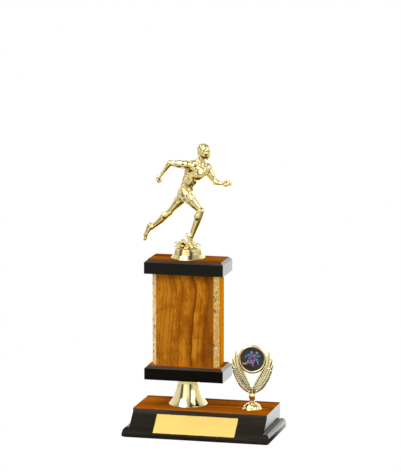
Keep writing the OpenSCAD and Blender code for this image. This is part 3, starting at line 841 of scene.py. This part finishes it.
def make_clothes(clay):
    """Singlet and shorts: the body's own surface raised a little inside the cloth's edges."""
    t, p = TORSO, PELVIS
    x, y, z = np.meshgrid(*clay.lines(), indexing="ij", sparse=True)
    body = clay.field.copy()

    def past(place, way):
        """How far along way a point is past that place."""
        way = unit(way)
        return (x - place[0]) * way[0] + (y - place[1]) * way[1] + (z - place[2]) * way[2]

    sway = 1.2 * np.sin(past(t.centre, t.left) * 0.33)
    crease = np.sin(past(t.centre, t.up + t.left * 0.75) * 1.15 + sway)
    low = np.clip(1 - (past(t.centre, t.up) + 8) / 9, 0, 1)
    singlet = body - 0.5 - 0.24 * low * crease
    holes = [Limb(t.at(7.0, 0, 8.6), JOINT["nape"], 4.4, 5.6), Limb(JOINT["collar"], JOINT["nape"], 5.2, 6.0)]
    for side in SIDES:
        shoulder, elbow = JOINT[side + "_shoulder"], JOINT[side + "_elbow"]
        inward = unit(t.at(0, 0, 6) - shoulder)
        armhole = (shoulder - inward * 1.8 - t.up * 4.0, shoulder - inward * 1.0 + t.up * 5)
        holes.append(Limb(*armhole, 5.0, 4.4))
        holes.append(Limb(shoulder, elbow, 5.4, 6.2))
        holes.append(Limb(elbow, JOINT[side + "_wrist"], 5, 5))
    for edge in (past(t.at(0, 0, 11.6), t.up), past(p.at(0, 0, 3.4), -p.up)):
        singlet = np.maximum(singlet, edge)
    for hole in holes:
        singlet = np.maximum(singlet, -hole.distance(x, y, z))
    shorts = np.maximum(body - 0.6, p.egg((-0.4, 0, 0.6), (8.4, 9.6, 7.6)).distance(x, y, z))
    for side, way in SIDES.items():
        hip, knee = JOINT[side + "_hip"], JOINT[side + "_knee"]
        thigh = unit(knee - hip)
        hem = spot(hip, knee, 0.36)
        zone = Limb(hip, hem, 8.0, 7.8).distance(x, y, z)
        flare = Limb(hip, hem + thigh * 2, 5.9, 6.5).distance(x, y, z)
        drape = np.cross(thigh, (0, 1, 0)) * 0.9 + p.left * 0.5 + thigh * 0.3
        folds = 0.16 * np.sin(past(hip, drape) * 1.7 + way)
        trouser = np.minimum(np.maximum(body - 0.7, zone), flare) - folds
        trouser = np.maximum(trouser, past(hem, thigh + p.left * way * 0.15))
        shorts = soft_min(shorts, trouser, 1.0)
    shorts = np.maximum(shorts, past(p.at(0, 0, 5.2), p.up))
    belt = np.maximum(body - 0.85, np.abs(past(p.at(0, 0, 4.5), p.up)) - 0.75)
    belt = np.maximum(belt, Egg(p.centre, (12, 12, 12)).distance(x, y, z))
    cloth = np.minimum(np.minimum(singlet, shorts), belt)
    clay.field = np.minimum(clay.field, cloth.astype(np.float32))


def make_body():
    clay = Clay((-56, -15, 9), (50, 15, 112), 0.33)
    trunk(clay)
    neck(clay)
    for side in SIDES:
        arm(clay, side)
    leg(clay, "near", (-1, 0, 0.2), 1.4, 0.4)
    leg(clay, "far", (0.3, 0, 1), 0.8, 1.8)
    make_clothes(clay)
    fist(clay, "near", (0.9, 0.35, -0.2))
    fist(clay, "far", (-0.2, 0.5, 0.9))
    shoe(clay, "near", (-0.95, 0, -0.25))
    shoe(clay, "far", (-0.9, 0, 0.5))
    clay.trim(THROAT.centre, THROAT.up, 0.6)
    return clay.skin("runner_body")


def make_head():
    h = HEAD
    clay = Clay(h.centre - 11.5, h.centre + 11.5, 0.17)
    trunk(clay)
    neck(clay)
    clay.add(
        h.egg((-1.0, 0, 2.2), (6.7, 5.3, 5.6)),
        h.egg((-3.0, 0, -1.0), (4.2, 4.3, 4.4)),
        h.egg((2.4, 0, -2.2), (4.0, 4.4, 5.5)),
        blend=2.4,
    )
    for way in (-1, 1):
        clay.add(h.limb((-1.4, way * 3.7, -3.4), (4.0, way * 1.0, -6.8), 1.3, 1.15), blend=1.6)
        clay.add(h.egg((3.7, way * 3.0, -1.5), (1.7, 1.5, 1.2)), blend=1.3)
        clay.add(h.limb((5.6, way * 0.5, 1.5), (4.3, way * 3.5, 1.6), 0.8, 0.7), blend=1.0)
        clay.cut(h.egg((6.5, way * 1.95, 0.15), (1.3, 1.3, 0.85)), blend=0.9)
        clay.add(h.egg((4.7, way * 1.9, 0.1), (1.05, 1.15, 0.8)), blend=0.3)
        for lid in (0.42, -0.38):
            middle = (5.72, way * 1.8, lid)
            clay.add(
                h.limb((5.35, way * 0.95, 0.0), middle, 0.2, 0.24),
                h.limb(middle, (5.0, way * 2.85, 0.05), 0.24, 0.2),
                blend=0.2,
            )
        clay.add(h.egg((-0.5, way * 5.2, -0.9), (1.35, 0.7, 2.0)), blend=0.5)
        clay.cut(h.egg((-0.2, way * 5.9, -0.7), (0.75, 0.5, 1.2)), blend=0.3)
    clay.add(h.egg((4.7, 0, -7.0), (1.35, 1.6, 1.2)), h.egg((4.9, 0, -4.6), (1.7, 2.2, 1.8)), blend=1.2)
    clay.add(h.limb((5.9, 0, 1.0), (7.5, 0, -2.5), 0.55, 0.7), blend=0.8)
    clay.add(h.egg((7.5, 0, -2.75), (0.8, 0.75, 0.7)), blend=0.5)
    for way in (-1, 1):
        clay.add(h.egg((6.75, way * 0.8, -3.0), (0.7, 0.5, 0.5)), blend=0.4)
        clay.add(h.limb((6.75, 0, -4.55), (6.2, way * 1.5, -4.85), 0.36, 0.2), blend=0.35)
        clay.add(h.limb((6.65, 0, -5.3), (6.2, way * 1.35, -5.0), 0.42, 0.2), blend=0.35)
    clay.cut(h.limb((7.3, -1.4, -4.92), (7.3, 1.4, -4.92), 0.62, 0.62), blend=0.15)
    make_hair(clay, h)
    clay.trim(THROAT.centre, -THROAT.up, 0.6)
    return clay.skin("runner_head")


def make_hair(clay, h):
    """Short wavy hair combed back from the forehead, in soft rolled locks."""
    x, y, z = np.meshgrid(*clay.lines(), indexing="ij", sparse=True)
    offset = (x - h.centre[0], y - h.centre[1], z - h.centre[2])
    f, l, u = (sum(part * share for part, share in zip(offset, way)) for way in (h.forward, h.left, h.up))
    crown = h.egg((-1.0, 0, 2.3), (7.0, 5.65, 5.9)).distance(x, y, z)
    back = h.egg((-3.1, 0, -1.2), (4.5, 4.6, 4.9)).distance(x, y, z)
    side = np.arctan2(l, u + 2.5)
    run = np.arctan2(f + 1, np.hypot(u + 2.5, l))
    rolls = np.sin(side * 15 + 2.6 * np.sin(run * 5.5) + 0.8 * np.sin(side * 3))
    waves = 0.65 * rolls + 0.35 * np.sin(run * 17 + 2.2 * np.sin(side * 6))
    cap = soft_min(crown, back, 2.0) - 0.26 * waves - 0.1
    forehead = f - 4.0 + 0.3 * np.abs(l) - 0.3 * (u - 3)
    temples = 1.6 - u + 1.5 * np.maximum(f - 1.4, 0) - 2.2 * np.clip(0.2 - f, 0, 1.6)
    hairline = np.maximum(np.maximum(forehead, temples - 2.0), -(u + 4.9 - 0.5 * f))
    cap = np.maximum(cap, hairline * 0.7 - 0.25 * waves)
    for way in (-1, 1):
        cap = np.maximum(cap, -h.egg((-0.1, way * 5.4, -1.1), (1.7, 1.4, 2.3)).distance(x, y, z))
    clay.field = soft_min(clay.field, cap.astype(np.float32), 0.3)


def make_mound():
    """The low mound on the pedestal that the leaves and the foot stand in."""
    clay = Clay((-14, -13, 10), (16, 13, 20), 0.3)
    clay.add(Egg((0.5, -0.6, 11.8), (10.4, 9.4, 2.4)), blend=1.0)
    clay.add(Egg((6.6, -3.2, 12.6), (5.0, 4.6, 2.5)), Egg((-5.0, -3.0, 12.8), (4.4, 4.4, 2.6)), blend=1.6)
    return clay.skin("leaf_mound")


def tube_faces(rings, around):
    """The faces of a tube made of closed rings of points, with both ends capped."""
    faces = []
    for start in range(0, (rings - 1) * around, around):
        for j in range(around):
            k = (j + 1) % around
            faces.append((start + j, start + k, start + around + k, start + around + j))
    faces.append(tuple(range(around))[::-1])
    faces.append(tuple((rings - 1) * around + j for j in range(around)))
    return faces


def blade(path, widths, face, thick=0.5, camber=0.25, rib=0.35, barbs=(0, 0), slant=1.0, steps=(40, 12)):
    """Points and faces of a thin curved blade with a raised midrib: one leaf or one feather.

    path and widths give the middle line and half widths at even shares of the length.
    face points out of the blade's upper side. barbs is how close and how deep its grooves are.
    """
    along, across = steps
    share = np.linspace(0, 1, along)
    line = curve_points(path, along)
    half = np.maximum(smooth_line(share, widths), 0.04)
    ahead = np.gradient(line, axis=0)
    ahead /= np.linalg.norm(ahead, axis=1)[:, None]
    side = np.cross(ahead, np.broadcast_to(np.asarray(face, float), ahead.shape))
    side /= np.linalg.norm(side, axis=1)[:, None]
    out = np.cross(side, ahead)
    length = np.linalg.norm(np.diff(line, axis=0), axis=1).sum()
    share = share[:, None]
    v = np.cos(np.linspace(0, math.pi, across + 1))
    reach = v * half[:, None]
    edge = np.sqrt(np.maximum(1 - v * v, 0)) ** 0.6
    comb = barbs[1] * np.sin((share * length + slant * np.abs(reach)) * barbs[0])
    midrib = rib * np.exp(-((reach / 0.32) ** 2)) * (1 - share) ** 0.5
    body = ((thick + comb) * edge + midrib) * np.sqrt(np.clip((1 - share) / 0.05, 0, 1))
    sag = -camber * np.abs(reach)
    flat = line[:, None] + side[:, None] * reach[..., None]
    top = flat + out[:, None] * (sag + body)[..., None]
    low = flat + out[:, None] * (sag - 0.6 * body)[..., None]
    ring = np.concatenate([top, low[:, -2:0:-1]], 1)
    return ring.reshape(-1, 3), tube_faces(along, ring.shape[1])


def smooth_line(share, values):
    """A smooth curve through the values (Catmull-Rom), read at each share."""
    values = np.asarray(values, float)
    padded = np.concatenate([[2 * values[0] - values[1]], values, [2 * values[-1] - values[-2]]])
    step = np.clip(share, 0, 1) * (len(values) - 1)
    i = np.minimum(step.astype(int), len(values) - 2)
    t = step - i
    a, b, c, d = padded[i], padded[i + 1], padded[i + 2], padded[i + 3]
    return 0.5 * (2 * b + (c - a) * t + (2 * a - 5 * b + 4 * c - d) * t**2 + (3 * b - a - 3 * c + d) * t**3)


def curve_points(keys, count):
    share = np.linspace(0, 1, count)
    return np.stack([smooth_line(share, np.asarray(keys, float)[:, i]) for i in range(len(keys[0]))], 1)


def mesh_of(name, shells, smooth=True):
    """One object from several (points, faces) shells, in millimetres."""
    points, faces, start = [], [], 0
    for shell_points, shell_faces in shells:
        points.append(np.asarray(shell_points))
        faces += [tuple(start + i for i in face) for face in shell_faces]
        start += len(shell_points)
    mesh = bpy.data.meshes.new(name)
    mesh.from_pydata(np.concatenate(points).tolist(), [], faces)
    checked = bmesh.new()
    checked.from_mesh(mesh)
    bmesh.ops.recalc_face_normals(checked, faces=checked.faces)
    checked.to_mesh(mesh)
    checked.free()
    if smooth:
        mesh.shade_smooth()
    made = bpy.data.objects.new(name, mesh)
    bpy.context.collection.objects.link(made)
    return made


def make_leaves():
    leaves = [
        ((-1, -3.4, 12.6), (-6.6, -4.4, 16.2), (-14.4, -5.4, 17.0), 3.1),
        ((-1.4, 0.2, 12.8), (-4.0, 0.2, 17.4), (-5.4, 0.6, 20.6), 2.6),
        ((-0.6, -5, 12.4), (-5.4, -7.6, 15.0), (-10.4, -10.2, 13.6), 2.9),
        ((-2, 3, 12.4), (-7, 5.6, 16.0), (-12.4, 8.0, 15.4), 2.9),
        ((2, 3, 12.4), (4.0, 6.6, 15.8), (6.8, 11.0, 14.8), 2.8),
        ((-1, 4, 12.4), (-1.6, 8.0, 15.6), (-2.4, 12.0, 14.2), 2.6),
        ((7, -0.6, 12.6), (10.0, 1.6, 15.2), (13.4, 3.4, 13.4), 2.5),
        ((7, -5, 12.4), (10.0, -7.2, 14.0), (12.2, -9.0, 12.6), 2.2),
        ((2, -5, 12.4), (2.0, -8.4, 14.4), (2.2, -12.2, 12.8), 2.5),
        ((-3, -1, 12.6), (-8.0, -0.8, 15.2), (-14.0, 0.4, 14.0), 2.7),
        ((-1.4, -2.6, 12.8), (-3.4, -4.6, 16.6), (-6.4, -7.0, 18.4), 2.3),
        ((-2, 1.6, 12.8), (-5.6, 3.0, 17.0), (-9.4, 4.6, 18.6), 2.4),
        ((-4, -4, 12.8), (-8.8, -6.6, 14.0), (-13.2, -8.6, 12.7), 2.1),
    ]
    shells = []
    for root, middle, tip, width in leaves:
        root, middle, tip = (np.array(place, float) for place in (root, middle, tip))
        face = np.array((-0.25 * (middle[0] - 1), -0.25 * middle[1], 6.0))
        path = [root, spot(root, middle, 0.55) + (0, 0, 0.9), middle + (0, 0, 0.7)]
        path += [spot(middle, tip, 0.5) + (0, 0, 0.8), tip - (0, 0, 0.5)]
        widths = [width * 0.45, width * 0.86, width, width * 0.66, 0.1]
        ribbed = {"thick": 0.4, "camber": 0.34, "rib": 0.4, "barbs": (2.6, 0.08), "slant": -0.8}
        shells.append(blade(path, widths, face, steps=(36, 14), **ribbed))
    return mesh_of("leaf_tuft", shells)


def make_runner():
    low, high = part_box("figure_pedestal")
    foot = Vector(((low.x + high.x) / 2, (low.y + high.y) / 2, low.z))
    for piece in (make_body(), make_head(), make_mound(), make_leaves()):
        piece.data.transform(Matrix.Translation(foot) @ Matrix.Scale(MM, 4))
        piece.data.materials.append(materials["gold_plating"])
        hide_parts("runner_figure")
        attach(piece, "figure")


make_runner()


# ---------------------------------------------------------------- the winged holder and its printed disc


def lathe(profile, steps=112, flute=None):
    """Points and faces of a profile of (radius, height) turned round Z, both ends on the axis or closed.

    flute(angle, share) gives a change of radius, with the share running along the profile.
    """
    profile = np.asarray(profile, float)
    turn = np.linspace(0, 2 * math.pi, steps, endpoint=False)
    share = np.linspace(0, 1, len(profile))
    radius = profile[:, :1] + np.zeros((1, steps))
    if flute:
        radius = radius + flute(turn[None], share[:, None])
    rings = np.stack([radius * np.cos(turn), radius * np.sin(turn), profile[:, 1:] + radius * 0], 2)
    return rings.reshape(-1, 3), tube_faces(len(profile), steps)


# The holder in millimetres, above the plinth's top. It stands turned by this many degrees.
HOLDER_TURN = 7
RING_HEIGHT = 54.5
DOME = [
    (10.5, 0), (10.6, 0.3), (10.6, 0.9), (10.2, 1.2), (9.9, 1.6), (9.7, 2.2),
    (9.1, 3.5), (8.1, 4.9), (6.7, 6.0), (5.1, 6.8), (3.8, 7.3), (3.1, 7.7),
]
STEM = [
    (2.9, 8.4), (2.7, 9.2), (2.65, 10.1), (2.9, 11.1), (3.4, 12.1), (3.75, 13.3),
    (3.8, 14.6), (3.6, 15.9), (3.1, 16.9), (2.2, 17.6), (0.8, 18.0),
]
RING_FACE = [
    (12.5, 0.4), (12.5, -1.6), (12.55, -1.85), (12.75, -2.0), (13.0, -2.0), (13.15, -2.08),
    (13.6, -2.17), (14.2, -2.17), (14.75, -2.02), (15.1, -1.72), (15.34, -1.25), (15.4, -0.7),
]
RING_BACK = [
    (15.4, 1.3), (15.25, 1.8), (14.85, 2.15), (14.3, 2.2), (13.8, 2.15), (13.5, 1.85), (0.4, 1.85),
]
DISC_FACE = [(12.44, 1.0), (12.44, 0.25), (12.3, 0.05), (11.9, 0.0), (0.3, 0.0)]
# The disc's face, forward (-) or back of the ring's middle
DISC_LEVEL = -0.4
# Spine of a wing as x, height and radius
WING_SPINE = [
    (1.3, 18.0, 2.2), (3.6, 23.0, 3.0), (7.2, 28.4, 4.1), (11.4, 34.6, 4.5),
    (15.0, 41.8, 4.1), (17.4, 48.6, 3.2), (18.0, 55.0, 1.6),
]
# Tips of the long feathers as x, height and the share of their length that they bow
FEATHER_TIPS = [
    (17.5, 64.1, 0.105), (21.2, 56.6, 0.075), (22.2, 50.2, 0.06),
    (21.2, 43.6, 0.055), (19.0, 37.2, 0.055), (15.6, 30.8, 0.055),
]


def wing_core(side):
    """The flat heart of one wing, which the feathers lie on."""
    clay = Clay((-26 if side < 0 else -3, -3, 13), (3 if side < 0 else 26, 3, 64), 0.3)
    for (xa, za, ra), (xb, zb, rb) in zip(WING_SPINE, WING_SPINE[1:]):
        clay.add(Limb((side * xa, 0, za), (side * xb, 0, zb), ra, rb, thin=((0, 1, 0), 0.3)), blend=1.6)
    return clay.skin("wing_core")


def long_feathers(side, face):
    """The fan of long feathers on one side of one wing."""
    shells = []
    shape = {"thick": 0.42, "camber": 0.16, "rib": 0.3, "barbs": (4.4, 0.025), "slant": -1.3}
    for number, (x, height, bend) in enumerate(FEATHER_TIPS):
        root = np.array((1.5 + 0.4 * number, 21.0 - 0.5 * number))
        reach = (x, height) - root
        bow = np.array((reach[1], -reach[0])) * bend
        lift = 1.45 - 0.16 * number
        path = []
        for share in (0.0, 0.3, 0.6, 0.85, 1.0):
            swell = math.sin(math.pi * share)
            flat = root + reach * share + bow * swell
            path.append((side * flat[0], face * (lift + 0.35 * swell - 0.9 * share**3), flat[1]))
        width = 2.1 if number < 3 else 1.8
        widths = [0.8, width * 0.85, width, width * 0.85, 0.3]
        steps = (int(np.linalg.norm(reach) * 3.2), 14)
        shells.append(blade(path, widths, (side * 0.25, face, 0), steps=steps, **shape))
    return shells


def small_feathers(side, face):
    """Rows of small feathers over the roots of the long ones."""
    shells = []
    count, rows = 24, 14
    inner = curve_points([(1.2, 20.8), (3.3, 28.6), (7.4, 36.8), (12.6, 46.6)], count)
    outer = curve_points([(3.6, 19.4), (9.6, 24.8), (15.2, 32.6), (19.2, 42.0)], count)
    for row in range(rows):
        columns = 3 if row == 0 else 5
        for column in range(columns):
            across = (column + 0.5) / columns
            share = (row + 0.5 * (column % 2)) / rows
            at = share * (count - 1)
            i = min(int(at), count - 2)
            here, beyond = (spot(inner[j], outer[j], across) for j in (i, i + 1))
            start, ahead = spot(here, beyond, at - i), unit(beyond - here)
            splay = math.radians(-6 + 30 * across)
            aside = np.array((ahead[1], -ahead[0]))
            reach = (ahead * math.cos(splay) + aside * math.sin(splay)) * (3.4 + 1.4 * share)
            path = []
            for step, lift, drop in ((0, 1.5, 0), (0.35, 1.85, 0.25), (0.7, 1.98, 0.35), (1.0, 1.85, 0.4)):
                flat = start + reach * step
                path.append((side * flat[0], face * (lift - drop * share), flat[1]))
            widths = [0.6, 1.1, 1.0, 0.12]
            shells.append(blade(path, widths, (0, face, 0), thick=0.3, camber=0.16, rib=0.15, steps=(10, 8)))
    return shells


def turned_to_y(shell):
    """A shell turned round Z, laid down so that its axis runs front to back, top end at the back."""
    points, faces = shell
    return np.stack([points[:, 0], points[:, 2], -points[:, 1]], 1), faces


def dome_flute(turn, share):
    """Nine pairs of flutes round the dome, between its rim and its top."""
    depth = np.clip(np.sin(math.pi * (share - 0.12) / 0.72), 0, 1) * (share > 0.12) * (share < 0.84)
    return -0.32 * np.abs(np.sin(turn * 9)) ** 0.7 * depth


def stem_flute(turn, share):
    """A groove down the front and the back of the stem."""
    return -0.3 * np.exp(-((np.cos(turn) / 0.2) ** 2)) * np.sin(math.pi * share) ** 0.5


def make_holder():
    body = mesh_of("holder_foot", [lathe(DOME, 128, dome_flute), lathe(STEM, 96, stem_flute)])
    ring = mesh_of("holder_ring", [turned_to_y(lathe(RING_FACE + RING_BACK, 144))])
    ring.data.transform(Matrix.Translation((0, 0, RING_HEIGHT)))
    pieces = [body, ring]
    for side, word in ((-1, "left"), (1, "right")):
        core = wing_core(side)
        core.name = f"wing_core_{word}"
        pieces.append(core)
        feathers = []
        for face in (-1, 1):
            feathers += long_feathers(side, face) + small_feathers(side, face)
        pieces.append(mesh_of(f"wing_feathers_{word}", feathers))
    for piece in pieces:
        piece.data.transform(holder_place())
        finish = "gold_rim" if piece is ring else "gold_wing" if "wing" in piece.name else "gold_plating"
        piece.data.materials.append(materials[finish])
        piece.data.set_sharp_from_angle(angle=math.radians(50))
        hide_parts("wing_holder")
        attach(piece, "holder")


def holder_place():
    low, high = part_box("holder_screw")
    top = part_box("plinth_veneer")[1].z
    centre = Vector(((low.x + high.x) / 2, (low.y + high.y) / 2, top))
    turn = Matrix.Rotation(math.radians(HOLDER_TURN), 4, "Z")
    return Matrix.Translation(centre) @ turn @ Matrix.Scale(MM, 4)


# Two small running figures for the disc: (x, height, radius) along each limb, in millimetres
SPRINTER = [
    [(0.9, 6.6, 1.3), (1.0, 6.9, 1.3)],
    [(0.2, 4.9, 1.0), (-0.6, 2.6, 1.5), (-1.3, -0.2, 1.2)],
    [(0.5, 4.6, 0.75), (2.6, 2.6, 0.6), (4.6, 4.2, 0.4)],
    [(-0.4, 4.7, 0.75), (-3.4, 4.4, 0.6), (-5.0, 2.0, 0.4)],
    [(-1.1, -0.2, 1.25), (2.2, -1.6, 0.95), (1.7, -5.6, 0.55), (3.0, -6.2, 0.4)],
    [(-1.4, -0.4, 1.25), (-3.6, -3.6, 0.9), (-7.2, -4.4, 0.5), (-8.0, -3.4, 0.35)],
]


def flat_limb(limb, place, size, thick, level):
    """A tapering stroke through the limb's points, as a thin flat solid facing -Y."""
    shells = []
    for (xa, za, ra), (xb, zb, rb) in zip(limb, limb[1:]):
        heading = math.atan2(zb - za, xb - xa)
        outline = []
        for x, z, radius, turn in ((xa, za, ra, heading + math.pi), (xb, zb, rb, heading)):
            for t in np.linspace(turn - math.pi / 2, turn + math.pi / 2, 14):
                outline.append((x + radius * math.cos(t), z + radius * math.sin(t)))
        outline = np.array(outline) * size + place
        count = len(outline)
        front = np.stack([outline[:, 0], np.full(count, level - thick), outline[:, 1]], 1)
        back = np.stack([outline[:, 0], np.full(count, level), outline[:, 1]], 1)
        faces = [tuple(range(count)), tuple(range(count, 2 * count))]
        faces += [(i, (i + 1) % count, (i + 1) % count + count, i + count) for i in range(count)]
        shells.append((np.concatenate([front, back]), faces))
    return shells


def make_print():
    shells = []
    runners = [((4.0, RING_HEIGHT + 0.4), 0.98, 0.05), ((-1.8, RING_HEIGHT - 0.2), 1.12, 0.08)]
    for place, size, thick in runners:
        for limb in SPRINTER:
            shells += flat_limb(limb, place, size, thick, DISC_LEVEL)
    printed = mesh_of("printed_runners", shells, smooth=False)
    printed.data.transform(holder_place())
    printed.data.materials.append(materials["printed_ink"])
    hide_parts("holder_insert")
    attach(printed, "holder")
    rim = mesh_of("disc_face", [turned_to_y(lathe(DISC_FACE, 128))])
    rim.data.transform(holder_place() @ Matrix.Translation((0, DISC_LEVEL, RING_HEIGHT)))
    rim.data.materials.append(materials["printed_disc"])
    rim.data.set_sharp_from_angle(angle=math.radians(40))
    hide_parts("holder_insert")
    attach(rim, "holder")


make_holder()
make_print()
